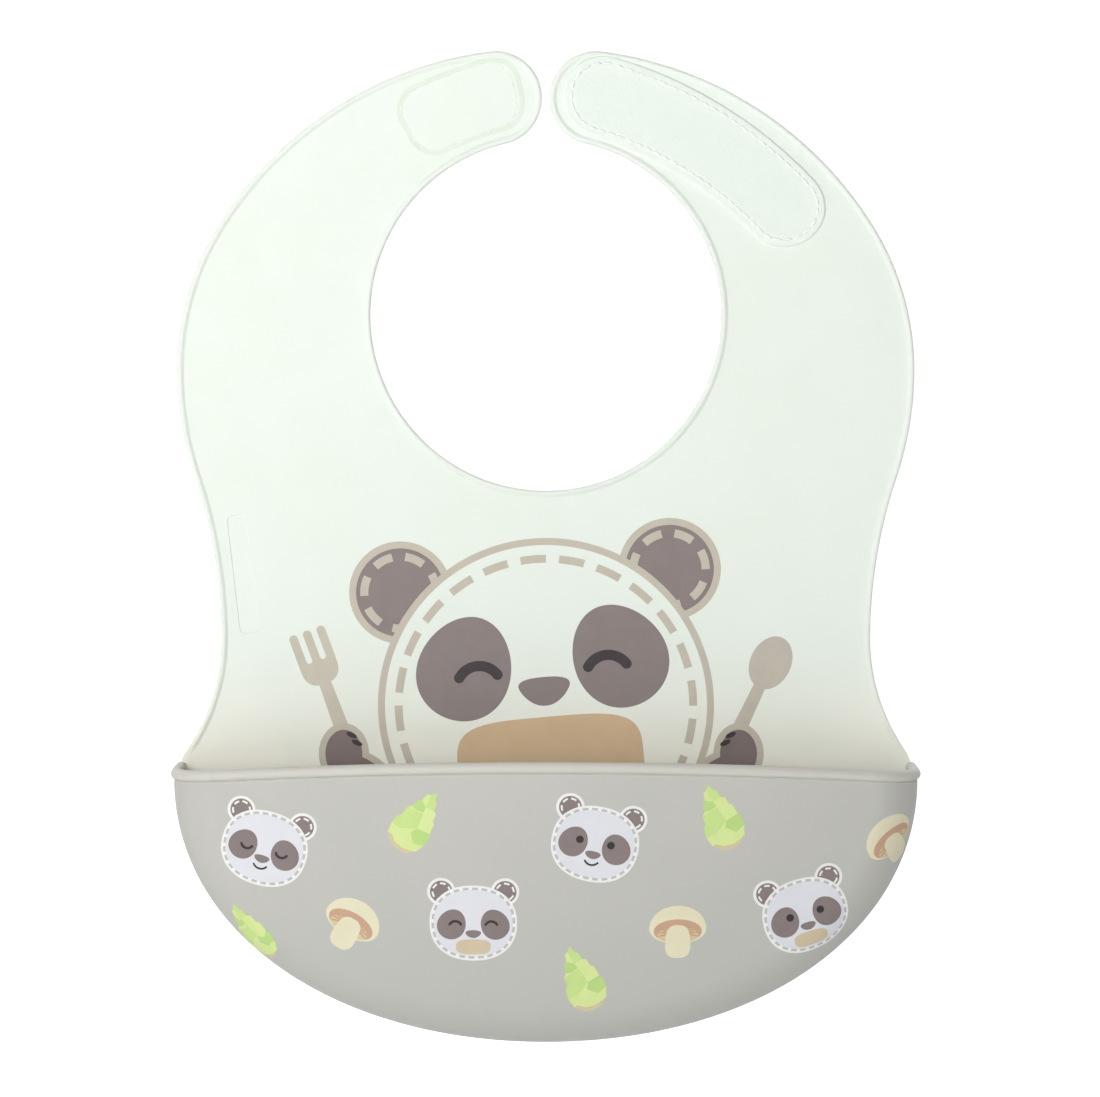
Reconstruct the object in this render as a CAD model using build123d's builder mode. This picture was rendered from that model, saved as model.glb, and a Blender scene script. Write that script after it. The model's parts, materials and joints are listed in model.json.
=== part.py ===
from build123d import *

import os
from math import atan2, cos, degrees, radians, sin, sqrt

# Silicone catch-all bib, standing upright as it is worn.
# X runs across the bib, Z up, and the printed front faces -Y. The origin is the centre of the
# neck opening, halfway through the sheet. Lengths are in millimetres, angles in degrees.
# "left" and "right" are those of a person who looks at the bib's front.

# Sheet
sheet_thickness = 1.8
neck_radius = 55.5
strap_tip_gap = 2.5
strap_tip_radius = 14.6
shoulder_half_width = 116.6
shoulder_drop = 17.8
shoulder_radius = 86.0
shoulder_turn = 32.0
waist_half_width = 103.2
waist_drop = 102.0
corner_half_width = 117.2
corner_drop = 147.0
bottom_drop = 229.0
bottom_fullness = 0.584
shoulder_bend_share = 0.4
flare_bend_share = 0.8
bead_width = 1.6
bead_height = 0.5

# Fold lines, where the straps bend back around the neck
fold_pivot_x = 85.0
fold_pivot_drop = 45.0
fold_tilt = 15.0
fold_clearance = 0.3
bead_setback = 3.0

# Catch pocket
pocket_wall = 1.7
pocket_mid_depth = 40.0
pocket_bulge_radius = 550.0
pocket_lean = 7.0
pocket_corner_radius = 14.0
rim_mid_drop = 137.0
rim_side_drop = 142.0
rim_height = 3.2
rim_proud = 0.7

# Hook and loop fastener
band_centre = (-19.2, -56.7)
band_radius = 130.9
patch_width = 26.0
patch_thickness = 1.2
loop_patch_angles = (38.2, 79.0)
hook_patch_angles = (60.4, 78.2)
loop_patch_corner = 12.9
hook_patch_corner = 10.0
stitch_inset = 2.6
stitch_pitch = 3.4
stitch_length = 2.3
stitch_width = 0.5
stitch_height = 0.3

# Printed ink on the panel: a plain panda face between a fork and a spoon
ink_thickness = 0.15
line_width = 2.4
head_drop = 124.0
head_radius = 53.5
head_tilt = 5.0
dash_inset = 7.0
dash_size = (2.7, 8.2)
dash_count = 24
ear_reach = 58.7
ear_angle = 47.0
ear_radius = 16.3
eye_patch_x = 24.6
eye_patch_drop = 110.0
eye_patch_radii = (14.6, 17.0)
eye_patch_tilt = 26.0
eye_x = 20.5
eye_drop = 114.0
eye_arc_radius = 6.6
nose_drop = 120.5
nose_radii = (8.0, 4.2)
muzzle_drop = 141.0
muzzle_radii = (29.0, 15.0)
paw_x = 61.5
paw_drop = 139.0
paw_radius = 9.0
cutlery_x = 73.0
cutlery_drop = 109.0
cutlery_tilt = 20.0
handle_width = 4.4
print_end_drop = 145.0

# Printed ink on the pocket: across, drop, tilt of each small picture
ink_gap = 0.03
panda_places = [(-87, 163, -15), (-24, 188, 0), (12, 162, -12), (79, 186, 15)]
shoot_places = [(-41, 156, -32), (54, 154, 24), (11, 204, 24), (-90, 190, 32)]
mushroom_places = [(-61, 187, -30), (39, 188, 0), (102, 161, 35)]
face_radii = (12.4, 10.6)
face_ear_radius = 3.9
face_ear_reach = 13.4
face_ear_angle = 44.0
face_patch_radii = (3.6, 4.2)
face_patch_x = 5.4
shoot_length = 19.0
shoot_width = 11.0
cap_width = 16.0
cap_height = 9.5
stem_size = (6.2, 8.5)

# Blank moulded strip at the side of the panel
label_centre = (-96.2, -82.0)
label_size = (6.2, 38.0)
label_turn = 6.3
label_depth = 0.3

half_sheet = sheet_thickness / 2
span = 3 * shoulder_half_width
tip_x = strap_tip_gap / 2 + strap_tip_radius
tip_z = sqrt((neck_radius + strap_tip_radius) ** 2 - tip_x**2)
tip_angle = degrees(atan2(tip_z, tip_x))
shoulder_centre = (shoulder_half_width - shoulder_radius, -shoulder_drop)

# The strap's top is a flatter arc that runs on from the shoulder's arc and meets the tip's round
# end without a kink, which settles how much larger its radius is.
turn_x, turn_z = cos(radians(shoulder_turn)), sin(radians(shoulder_turn))
apart_x, apart_z = shoulder_centre[0] - tip_x, shoulder_centre[1] - tip_z
radius_left = shoulder_radius - strap_tip_radius
extra_radius = (apart_x**2 + apart_z**2 - radius_left**2) / (
    2 * (apart_x * turn_x + apart_z * turn_z + radius_left)
)
strap_top_radius = shoulder_radius + extra_radius
strap_top_centre = (
    shoulder_centre[0] - extra_radius * turn_x, shoulder_centre[1] - extra_radius * turn_z
)
strap_top_end = degrees(atan2(tip_z - strap_top_centre[1], tip_x - strap_top_centre[0]))
panel_front = Plane.XZ.offset(half_sheet)
panel_back = Plane.XZ.offset(-half_sheet)


def between(start, end, share):
    """Point that lies `share` of the way from start to end."""
    return tuple(a + (b - a) * share for a, b in zip(start, end))


# ---------------------------------------------------------------- sheet outline and edge bead
shoulder = (shoulder_half_width, -shoulder_drop)
waist = (waist_half_width, -waist_drop)
shoulder_bend = between(shoulder, waist, shoulder_bend_share)


def draw_lower_edge(grow):
    """Draws the right-hand edge from waist to bottom, `grow` outside the sheet's own edge."""
    top = (waist_half_width + grow, -waist_drop)
    corner = (corner_half_width + grow, -corner_drop)
    flare_bend = between(top, corner, flare_bend_share)
    TangentArc(top, flare_bend, tangent=(0, -1))
    TangentArc(corner, flare_bend, tangent=(0, 1))
    low = -bottom_drop - grow
    return Bezier(
        (0, low),
        (bottom_fullness * corner[0], low),
        (corner[0], between(corner, (0, low), bottom_fullness)[1]),
        corner,
    )


with BuildSketch(Plane.XZ) as sheet_outline:
    with BuildLine():
        neck = CenterArc((0, 0), neck_radius, -90, 90 + tip_angle)
        CenterArc(shoulder_centre, shoulder_radius, 0, shoulder_turn)
        strap_top = CenterArc(
            strap_top_centre, strap_top_radius, shoulder_turn, strap_top_end - shoulder_turn
        )
        ThreePointArc(neck @ 1, (strap_tip_gap / 2, tip_z), strap_top @ 1)
        TangentArc(shoulder, shoulder_bend, tangent=(0, -1))
        TangentArc(waist, shoulder_bend, tangent=(0, 1))
        lower_edge = draw_lower_edge(0)
        Line(lower_edge @ 0, neck @ 0)
    make_face()
    mirror(about=Plane.YZ)

with BuildSketch(Plane.XZ) as edge_bead:
    add(sheet_outline.sketch_local)
    offset(amount=-bead_width, mode=Mode.SUBTRACT)
    with Locations((0, rim_height - rim_side_drop)):
        Rectangle(span, span, align=(Align.CENTER, Align.MAX), mode=Mode.SUBTRACT)


def beyond_fold(side, shift):
    """Keeps what lies past the fold line on one side, moved `shift` towards the strap."""
    pivot = (side * fold_pivot_x, -fold_pivot_drop)
    tilt = -side * fold_tilt
    with BuildSketch() as region:
        with Locations(Location((*pivot, 0), (0, 0, tilt))):
            with Locations((0, shift)):
                Rectangle(span, span, align=(Align.CENTER, Align.MIN))
        outward = Align.MIN if side > 0 else Align.MAX
        Rectangle(span, 3 * span, align=(outward, Align.CENTER), mode=Mode.INTERSECT)
    return region.sketch_local


# ---------------------------------------------------------------- panel
with BuildPart() as bib_panel:
    with BuildSketch(Plane.XZ):
        add(sheet_outline.sketch_local)
        for side in (-1, 1):
            add(beyond_fold(side, -half_sheet - fold_clearance), mode=Mode.SUBTRACT)
    extrude(amount=half_sheet, both=True)
    with BuildSketch(panel_front):
        add(edge_bead.sketch_local)
        for side in (-1, 1):
            add(beyond_fold(side, -bead_setback), mode=Mode.SUBTRACT)
    extrude(amount=bead_height)
    with BuildSketch(panel_front):
        with Locations(label_centre):
            RectangleRounded(*label_size, label_size[0] / 3, rotation=label_turn)
    extrude(amount=-label_depth, mode=Mode.SUBTRACT)


# ---------------------------------------------------------------- straps
def patch_outline(side, angles, corner_radius):
    """Curved band that follows a strap, between two angles about the band's centre."""
    centre = (side * band_centre[0], band_centre[1])
    start, end = angles if side > 0 else (180 - angles[0], 180 - angles[1])
    with BuildSketch() as outline:
        with BuildLine():
            outer = CenterArc(centre, band_radius + patch_width / 2, start, end - start)
            inner = CenterArc(centre, band_radius - patch_width / 2, start, end - start)
            Line(outer @ 0, inner @ 0)
            Line(outer @ 1, inner @ 1)
        make_face()
        fillet(outline.vertices(), corner_radius)
    return outline.sketch_local


hook_outline = patch_outline(-1, hook_patch_angles, hook_patch_corner)
loop_outline = patch_outline(1, loop_patch_angles, loop_patch_corner)


def make_strap(side):
    """One strap. It ends at its fold line in a full round on the fold axis."""
    tilt = radians(fold_tilt)
    section = Plane(
        origin=(side * fold_pivot_x, 0, -fold_pivot_drop),
        z_dir=(-side * cos(tilt), 0, sin(tilt)),
    )
    with BuildPart() as round_end:
        with BuildSketch(section):
            Circle(half_sheet)
        extrude(amount=shoulder_half_width, both=True)
        with BuildSketch(Plane.XZ):
            add(sheet_outline.sketch_local)
            add(beyond_fold(side, -sheet_thickness), mode=Mode.INTERSECT)
        extrude(amount=sheet_thickness, both=True, mode=Mode.INTERSECT)
    with BuildPart() as strap:
        with BuildSketch(Plane.XZ):
            add(sheet_outline.sketch_local)
            add(beyond_fold(side, 0), mode=Mode.INTERSECT)
        extrude(amount=half_sheet, both=True)
        add(round_end.part)
        with BuildSketch(panel_front):
            add(edge_bead.sketch_local)
            add(beyond_fold(side, bead_setback), mode=Mode.INTERSECT)
            add(loop_outline, mode=Mode.SUBTRACT)
        extrude(amount=bead_height)
    return strap.part


left_strap = make_strap(-1)
right_strap = make_strap(1)


# ---------------------------------------------------------------- hook and loop patches
def make_patch(outline, plane):
    """Flat patch of fastener tape standing on a plane."""
    with BuildPart() as patch:
        with BuildSketch(plane):
            add(outline)
        extrude(amount=patch_thickness)
    return patch.part


def make_stitches(outline, planes):
    """Row of lockstitches inside a patch's edge, seen on each of the given planes."""
    with BuildSketch() as seam:
        add(outline)
        offset(amount=-stitch_inset, mode=Mode.REPLACE)
    seam_line = seam.face().outer_wire()
    count = round(seam_line.length / stitch_pitch)
    places = []
    for i in range(count):
        point = seam_line @ (i / count)
        heading = seam_line % (i / count)
        places.append(Location((point.X, point.Y, 0), (0, 0, degrees(atan2(heading.Y, heading.X)))))
    with BuildPart() as stitches:
        for plane in planes:
            with BuildSketch(plane):
                with Locations(*places):
                    SlotOverall(stitch_length, stitch_width)
            extrude(amount=stitch_height)
    return stitches.part


back_facing = Plane(origin=(0, half_sheet, 0), x_dir=(-1, 0, 0), z_dir=(0, 1, 0))
hook_outline_from_back = mirror(hook_outline, about=Plane.YZ, mode=Mode.PRIVATE)
loop_outline_from_back = mirror(loop_outline, about=Plane.YZ, mode=Mode.PRIVATE)

hook_patch = make_patch(hook_outline_from_back, back_facing)
loop_patch = make_patch(loop_outline, panel_front)
hook_patch_stitching = make_stitches(hook_outline_from_back, [back_facing.offset(patch_thickness)])
hook_patch_stitching += make_stitches(hook_outline, [panel_front])
loop_patch_stitching = make_stitches(loop_outline, [panel_front.offset(patch_thickness)])
loop_patch_stitching += make_stitches(loop_outline_from_back, [back_facing])


# ---------------------------------------------------------------- catch pocket
def below_rim(drop):
    """Everything lower than the rim's top line moved down by `drop`."""
    with BuildPart() as region:
        with BuildSketch(Plane.XZ):
            with BuildLine():
                top = ThreePointArc(
                    (-corner_half_width, -rim_side_drop - drop),
                    (0, -rim_mid_drop - drop),
                    (corner_half_width, -rim_side_drop - drop),
                )
                Polyline(
                    top @ 1,
                    (span, -rim_side_drop - drop),
                    (span, -2 * bottom_drop),
                    (-span, -2 * bottom_drop),
                    (-span, -rim_side_drop - drop),
                    top @ 0,
                )
            make_face()
        extrude(amount=span, both=True)
    return region.part


def pocket_form(grow):
    """Solid bowl whose skin lies `grow` outside the pocket's own outer face."""
    lean = radians(pocket_lean)
    across_lean = Plane(
        origin=(0, 0, -rim_side_drop), x_dir=(1, 0, 0), z_dir=(0, -sin(lean), cos(lean))
    )
    with BuildPart() as form:
        with BuildSketch(panel_front):
            with BuildLine():
                lower_edge = draw_lower_edge(grow)
                Polyline(
                    (waist_half_width + grow, -waist_drop), (0, -waist_drop), lower_edge @ 0
                )
            make_face()
            mirror(about=Plane.YZ)
        extrude(amount=2 * pocket_mid_depth)
        with BuildSketch(across_lean):
            with Locations((0, pocket_bulge_radius - pocket_mid_depth)):
                Circle(pocket_bulge_radius + grow)
        extrude(amount=span, both=True, mode=Mode.INTERSECT)
        front_face = form.faces().sort_by(Axis.Y)[0]
        perimeter = front_face.edges().sort_by(Axis.Z)[:-1]
        fillet(perimeter, pocket_corner_radius + grow)
    return form.part


pocket_skin = pocket_form(0)

with BuildPart() as rim_band:
    add(pocket_form(rim_proud))
    add(pocket_form(-pocket_wall - rim_proud), mode=Mode.SUBTRACT)
    add(below_rim(0), mode=Mode.INTERSECT)
    add(below_rim(rim_height), mode=Mode.SUBTRACT)

with BuildPart() as catch_pocket:
    add(pocket_skin)
    add(pocket_form(-pocket_wall), mode=Mode.SUBTRACT)
    add(below_rim(0), mode=Mode.INTERSECT)
    add(rim_band.part)


# ---------------------------------------------------------------- ink on the panel
def draw_head(radius, mode=Mode.ADD):
    """Disc concentric with the panda's head."""
    with Locations((0, -head_drop)):
        Circle(radius, mode=mode)


def on_face(across, drop, turn=0.0):
    """Place on the panda's face, given for an upright head and tilted with the head."""
    return Location((0, -head_drop, 0), (0, 0, head_tilt)) * Location(
        (across, head_drop - drop, 0), (0, 0, turn)
    )


def ear_places():
    """Centres of the panda's two ears."""
    reach_x = ear_reach * sin(radians(ear_angle))
    drop = head_drop - ear_reach * cos(radians(ear_angle))
    return Locations(on_face(-reach_x, drop), on_face(reach_x, drop))


def cutlery_place(side):
    """Centre of a fork's or spoon's head, with its handle pointing at the paw."""
    return Locations(Location((side * cutlery_x, -cutlery_drop, 0), (0, 0, -side * cutlery_tilt)))


def clip_print():
    """Ends the print a little below the pocket's rim."""
    with Locations((0, -print_end_drop)):
        Rectangle(span, span, align=(Align.CENTER, Align.MIN), mode=Mode.INTERSECT)


with BuildSketch() as ear_dashes:
    with ear_places():
        with PolarLocations(ear_radius - dash_inset, 8):
            Rectangle(*dash_size)
    draw_head(head_radius, Mode.SUBTRACT)

with BuildSketch() as eye_arcs:
    for side in (-1, 1):
        with BuildLine(mode=Mode.PRIVATE):
            arch = CenterArc((0, 0), eye_arc_radius, 20, 140)
        with Locations(on_face(side * eye_x, eye_drop)):
            SlotArc(arch, line_width)

with BuildSketch() as line_art:
    with ear_places():
        Circle(ear_radius)
        Circle(ear_radius - line_width, mode=Mode.SUBTRACT)
    draw_head(head_radius)
    draw_head(head_radius - line_width, Mode.SUBTRACT)
    with Locations((0, -head_drop)):
        with PolarLocations(head_radius - dash_inset, dash_count):
            Rectangle(*dash_size)
    with Locations((-paw_x, -paw_drop), (paw_x, -paw_drop)):
        Circle(paw_radius)
    for side in (-1, 1):
        with cutlery_place(side):
            Rectangle(handle_width, paw_drop - cutlery_drop, align=(Align.CENTER, Align.MAX))
    with cutlery_place(1):
        Ellipse(6.0, 8.2)
    with cutlery_place(-1):
        Ellipse(6.4, 7.2)
        with GridLocations(5.2, 0, 3, 1):
            SlotOverall(17, 2.6, rotation=90, align=(Align.MIN, Align.CENTER))
    with Locations((-paw_x, -paw_drop), (paw_x, -paw_drop)):
        Circle(paw_radius - line_width, mode=Mode.SUBTRACT)
    add(ear_dashes.sketch_local)
    clip_print()

with BuildSketch() as dark_patches:
    with ear_places():
        Circle(ear_radius - line_width)
    draw_head(head_radius, Mode.SUBTRACT)
    add(ear_dashes.sketch_local, mode=Mode.SUBTRACT)
    for side in (-1, 1):
        with Locations(on_face(side * eye_patch_x, eye_patch_drop, -side * eye_patch_tilt)):
            Ellipse(*eye_patch_radii)
    add(eye_arcs.sketch_local, mode=Mode.SUBTRACT)
    with Locations(on_face(0, nose_drop)):
        Ellipse(*nose_radii)
    with Locations((-paw_x, -paw_drop), (paw_x, -paw_drop)):
        Circle(paw_radius - line_width)
    clip_print()

with BuildSketch() as muzzle:
    with Locations(on_face(0, muzzle_drop)):
        Ellipse(*muzzle_radii)
    clip_print()


def ink_on_panel(shapes):
    """Film of ink on the panel's front."""
    with BuildPart() as film:
        with BuildSketch(panel_front):
            add(shapes)
        extrude(amount=ink_thickness)
    return film.part


# ---------------------------------------------------------------- ink on the pocket
def picture_places(places):
    """Locations for small pictures, from (across, drop, tilt)."""
    return Locations(*[Location((x, -drop, 0), (0, 0, tilt)) for x, drop, tilt in places])


face_ear_x = face_ear_reach * sin(radians(face_ear_angle))
face_ear_z = face_ear_reach * cos(radians(face_ear_angle))

with BuildSketch() as face_marks:
    for side in (-1, 1):
        with Locations((side * face_ear_x, face_ear_z)):
            Circle(face_ear_radius - 0.5)
    Ellipse(*face_radii, mode=Mode.SUBTRACT)
    for side in (-1, 1):
        with Locations((side * face_patch_x, -1.2)):
            Ellipse(*face_patch_radii, rotation=-side * eye_patch_tilt)
    with Locations((0, -4.0)):
        Ellipse(1.7, 0.9)

with BuildSketch() as face_white:
    Ellipse(*face_radii)
    with Locations((-face_ear_x, face_ear_z), (face_ear_x, face_ear_z)):
        Circle(face_ear_radius)

with BuildSketch() as shoot:
    with BuildLine():
        shoot_side = ThreePointArc(
            (0, shoot_length / 2), (shoot_width / 2, -shoot_length / 6), (0, -shoot_length / 2)
        )
        mirror(shoot_side, about=Plane.YZ)
    make_face()

with BuildSketch() as gills:
    Ellipse(0.36 * cap_width, 0.22 * cap_height)
    with Locations((0, 0.1 * cap_height)):
        Rectangle(*stem_size, align=(Align.CENTER, Align.MAX), mode=Mode.SUBTRACT)

with BuildSketch() as mushroom:
    Ellipse(cap_width / 2, cap_height / 2)
    with Locations((0, 0.1 * cap_height)):
        Rectangle(*stem_size, align=(Align.CENTER, Align.MAX))


def ink_shell(coat):
    """Skin of ink all over the pocket's front; coat 0 lies on the silicone and coat 1 on coat 0."""
    inside = ink_gap + coat * (ink_thickness + ink_gap)
    with BuildPart() as shell:
        add(pocket_form(inside + ink_thickness))
        add(pocket_form(inside), mode=Mode.SUBTRACT)
    return shell.part


first_coat = ink_shell(0)
second_coat = ink_shell(1)


def ink_on_pocket(shape, places, shell):
    """Film of ink that follows the pocket's front, one copy of the shape at each place."""
    with BuildPart() as film:
        with BuildSketch(panel_front.offset(pocket_corner_radius)):
            with picture_places(places):
                add(shape)
        extrude(amount=2 * pocket_mid_depth)
        add(shell, mode=Mode.INTERSECT)
    return film.part


# ---------------------------------------------------------------- write every piece
pieces = {
    "bib_panel": bib_panel.part,
    "left_strap": left_strap,
    "right_strap": right_strap,
    "catch_pocket": catch_pocket.part,
    "hook_patch": hook_patch,
    "loop_patch": loop_patch,
    "hook_patch_stitching": hook_patch_stitching,
    "loop_patch_stitching": loop_patch_stitching,
    "panel_ink_beige": ink_on_panel(line_art.sketch_local),
    "panel_ink_taupe": ink_on_panel(dark_patches.sketch_local),
    "panel_ink_tan": ink_on_panel(muzzle.sketch_local),
    "panel_ink_dark": ink_on_panel(eye_arcs.sketch_local),
    "pocket_ink_white": ink_on_pocket(face_white.sketch_local, panda_places, first_coat),
    "pocket_ink_taupe": ink_on_pocket(face_marks.sketch_local, panda_places, second_coat),
    "pocket_ink_green": ink_on_pocket(shoot.sketch_local, shoot_places, first_coat),
    "pocket_ink_cream": ink_on_pocket(mushroom.sketch_local, mushroom_places, first_coat),
    "pocket_ink_brown": ink_on_pocket(gills.sketch_local, mushroom_places, second_coat),
}

os.makedirs("parts", exist_ok=True)
for name, piece in pieces.items():
    piece.label = name
    export_step(piece, f"parts/{name}.step")
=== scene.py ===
import json
from math import atan2, cos, degrees, pi, radians, sin, sqrt

import bmesh
import bpy
import numpy as np
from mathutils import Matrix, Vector
from mathutils.geometry import delaunay_2d_cdt


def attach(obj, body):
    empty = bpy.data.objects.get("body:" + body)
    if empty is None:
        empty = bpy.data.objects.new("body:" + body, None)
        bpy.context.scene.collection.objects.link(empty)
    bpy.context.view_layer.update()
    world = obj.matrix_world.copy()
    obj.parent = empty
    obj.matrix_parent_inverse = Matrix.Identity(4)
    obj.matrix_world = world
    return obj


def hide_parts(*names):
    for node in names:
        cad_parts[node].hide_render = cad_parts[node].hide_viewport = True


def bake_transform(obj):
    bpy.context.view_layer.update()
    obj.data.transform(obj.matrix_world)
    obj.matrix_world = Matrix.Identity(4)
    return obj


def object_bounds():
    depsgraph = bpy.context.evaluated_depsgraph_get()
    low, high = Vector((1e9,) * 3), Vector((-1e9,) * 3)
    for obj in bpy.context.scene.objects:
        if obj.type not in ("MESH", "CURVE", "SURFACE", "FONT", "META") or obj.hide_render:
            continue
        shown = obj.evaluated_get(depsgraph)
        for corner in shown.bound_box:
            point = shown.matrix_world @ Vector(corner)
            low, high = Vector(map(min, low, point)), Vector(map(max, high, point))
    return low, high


# Silicone catch-all bib. Flat shapes are drawn as (across, up) in millimetres; a piece's mesh is
# in metres, in the frame of the CAD model. The printed front faces -Y.

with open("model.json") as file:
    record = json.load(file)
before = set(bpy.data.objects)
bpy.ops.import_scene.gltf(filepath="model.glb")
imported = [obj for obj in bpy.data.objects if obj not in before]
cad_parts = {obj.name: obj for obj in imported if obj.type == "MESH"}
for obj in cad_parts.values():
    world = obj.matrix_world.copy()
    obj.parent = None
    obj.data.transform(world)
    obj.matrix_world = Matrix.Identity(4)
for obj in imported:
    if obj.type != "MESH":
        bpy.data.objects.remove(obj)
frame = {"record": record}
cad_low, cad_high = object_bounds()

MM = 0.001
sharp_angle = radians(40.0)

# -------- sizes in millimetres
# The outline's and the pocket's sizes are the CAD model's own.
mounts = {mount["name"]: mount for mount in frame["record"]["mounts"]}
neck_radius = mounts["neck_opening"]["dims"]["r_mm"]
half_sheet = mounts["chest_side"]["pos_m"][1] / MM
bottom = cad_low.z / MM

tip_radius = 14.6
tip_gap = 2.5
shoulder = np.array((116.6, -17.8))
shoulder_radius = 86.0
shoulder_turn = 32.0
waist = np.array((103.2, -102.0))
corner = np.array((117.2, -147.0))
shoulder_bend_share = 0.4
flare_bend_share = 0.8
bottom_fullness = 0.584

rim_mid = -137.0
rim_side = -142.0
pocket_mid_depth = 40.0
pocket_bulge_radius = 550.0
pocket_lean = radians(7.0)
pocket_corner = 14.0
pocket_wall = 1.7

band_centre = (-19.2, -56.7)
band_radius = 130.9
tape_width = 26.0
pressed_thickness = 0.8
loop_tape_angles = (38.2, 79.0)
hook_tape_angles = (60.4, 78.2)
loop_tape_corner = 12.9
hook_tape_corner = 10.0
stitch_inset = 2.6
stitch_pitch = 3.4
stitch_length = 2.6
thread_radius = 0.32
seam_valley = 0.1
valley_width = 0.75
tape_edge = 0.7
tape_sunk = 0.05
pile_unevenness = 0.006

head_centre = (0.0, -124.0)
head_radius = 53.5
head_tilt = 5.0
line_width = 2.2


# -------- flat drawing
def arc(centre, radius, start, end, step=1.0):
    """Points along an arc, both ends included."""
    count = max(3, round(abs(radians(end - start)) * radius / step)) + 1
    angles = np.radians(np.linspace(start, end, count))
    return np.stack((centre[0] + radius * np.cos(angles), centre[1] + radius * np.sin(angles)), 1)


def side_arc(upright, bend, step=1.0):
    """Arc that runs straight up or down at `upright` and ends at `bend`."""
    across, up = bend[0] - upright[0], bend[1] - upright[1]
    radius = (across**2 + up**2) / (2 * abs(across))
    centre = (upright[0] + np.sign(across) * radius, upright[1])
    start = 180.0 if across > 0 else 0.0
    end = degrees(atan2(bend[1] - centre[1], bend[0] - centre[0]))
    if start - end > 180:
        end += 360
    return arc(centre, radius, start, end, step)


def curve(start, first_handle, last_handle, end, count):
    """Points along a smooth curve that leaves and arrives along its two handles."""
    t = np.linspace(0, 1, count)[:, None]
    weights = ((1 - t) ** 3, 3 * (1 - t) ** 2 * t, 3 * (1 - t) * t**2, t**3)
    return sum(w * np.array(p) for w, p in zip(weights, (start, first_handle, last_handle, end)))


def chain(*parts):
    """Joins paths end to end, without repeating the shared points."""
    return np.concatenate([parts[0]] + [part[1:] for part in parts[1:]])


def headings(path):
    """Unit vectors along a path."""
    along = np.gradient(path, axis=0)
    return along / np.linalg.norm(along, axis=1)[:, None]


def inward(path):
    """Unit normals on the right-hand side of a path."""
    along = headings(path)
    return np.stack((along[:, 1], -along[:, 0]), 1)


def ellipse(x, z, rx, rz, tilt=0.0, power=2.0, egg=0.0, count=72):
    """Closed oval; a power above 2 squares it up, and egg makes its upper end wider."""
    angle = np.linspace(0, 2 * pi, count, endpoint=False)
    across = np.sign(np.cos(angle)) * np.abs(np.cos(angle)) ** (2 / power) * rx
    up = np.sign(np.sin(angle)) * np.abs(np.sin(angle)) ** (2 / power) * rz
    across = across * (1 + egg * up / rz)
    return moved(np.stack((across, up), 1), (x, z, tilt))


def circle(x, z, radius, count=96):
    """Closed circle."""
    return ellipse(x, z, radius, radius, count=count)


def moved(loop, place, scale=1.0):
    """A loop turned by a tilt in degrees and moved to (across, up, tilt)."""
    x, z, tilt = place
    c, s = cos(radians(tilt)), sin(radians(tilt))
    turned = np.asarray(loop, float) * scale @ np.array(((c, s), (-s, c)))
    return turned + (x, z)


def placed(loops, place):
    """Several loops, moved together."""
    return [moved(loop, place) for loop in loops]


def mirrored(loop):
    """A loop seen in a mirror that stands on the middle line."""
    return np.asarray(loop, float) * (-1, 1)


def stroke(path, width):
    """Outline of a line with round ends, drawn along a path."""
    normals = inward(path) * width / 2
    heading = degrees(atan2(*(path[0] - path[1])[::-1]))
    first = arc(path[0], width / 2, heading - 90, heading + 90, 0.3)
    heading = degrees(atan2(*(path[-1] - path[-2])[::-1]))
    last = arc(path[-1], width / 2, heading - 90, heading + 90, 0.3)
    return np.concatenate((first[1:-1], path + normals, last[1:-1], (path - normals)[::-1]))


def closed(loop):
    """A loop with its first point repeated at the end."""
    return np.concatenate((loop, loop[:1]))


def lengths_along(path):
    """Distance along a path to each of its points."""
    steps = np.linalg.norm(np.diff(path, axis=0), axis=1)
    return np.concatenate(((0.0,), np.cumsum(steps)))


def at_distance(path, distances):
    """Points on a path at the given distances along it."""
    along = lengths_along(path)
    return np.stack([np.interp(distances, along, path[:, i]) for i in (0, 1)], 1)


def dashes(loop, count, share, width):
    """Evenly spaced square-ended dashes along a closed loop."""
    pitch = lengths_along(closed(loop))[-1] / count
    found = []
    for i in range(count):
        path = at_distance(closed(loop), np.linspace(i * pitch, (i + share) * pitch, 7))
        normals = inward(path) * width / 2
        found.append(np.concatenate((path + normals, (path - normals)[::-1])))
    return found


def rounded_rectangle(length, width, radius, inset=0.0, step=0.7):
    """Closed loop round (0, 0); an inset keeps the number of points."""
    half_l, half_w = length / 2 - radius, width / 2 - radius
    corners = np.array(((half_l, half_w), (-half_l, half_w), (-half_l, -half_w), (half_l, -half_w)))
    turn = np.linspace(0, pi / 2, max(4, round(radius * pi / 2 / step)) + 1)
    parts = []
    for quarter, there in enumerate(corners):
        here = corners[quarter - 1]
        angles = quarter * pi / 2 + turn
        bend = (radius - inset) * np.stack((np.cos(angles), np.sin(angles)), 1)
        count = max(2, round(np.abs(there - here).max() / step))
        parts += [np.linspace(here, there, count) + bend[0], there + bend[1:-1]]
    return np.concatenate(parts)


def is_inside(points, loop):
    """Which points lie inside a closed loop."""
    x, z = points[:, :1], points[:, 1:]
    ax, az = loop[:, 0], loop[:, 1]
    bx, bz = np.roll(ax, -1), np.roll(az, -1)
    crosses = (az > z) != (bz > z)
    rise = np.where(bz == az, 1.0, bz - az)
    return (crosses & (x < ax + (z - az) * (bx - ax) / rise)).sum(1) % 2 == 1


def inside_any(points, loops):
    """Which points lie inside at least one of several closed loops."""
    return np.any([is_inside(points, loop) for loop in loops], axis=0)


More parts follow.
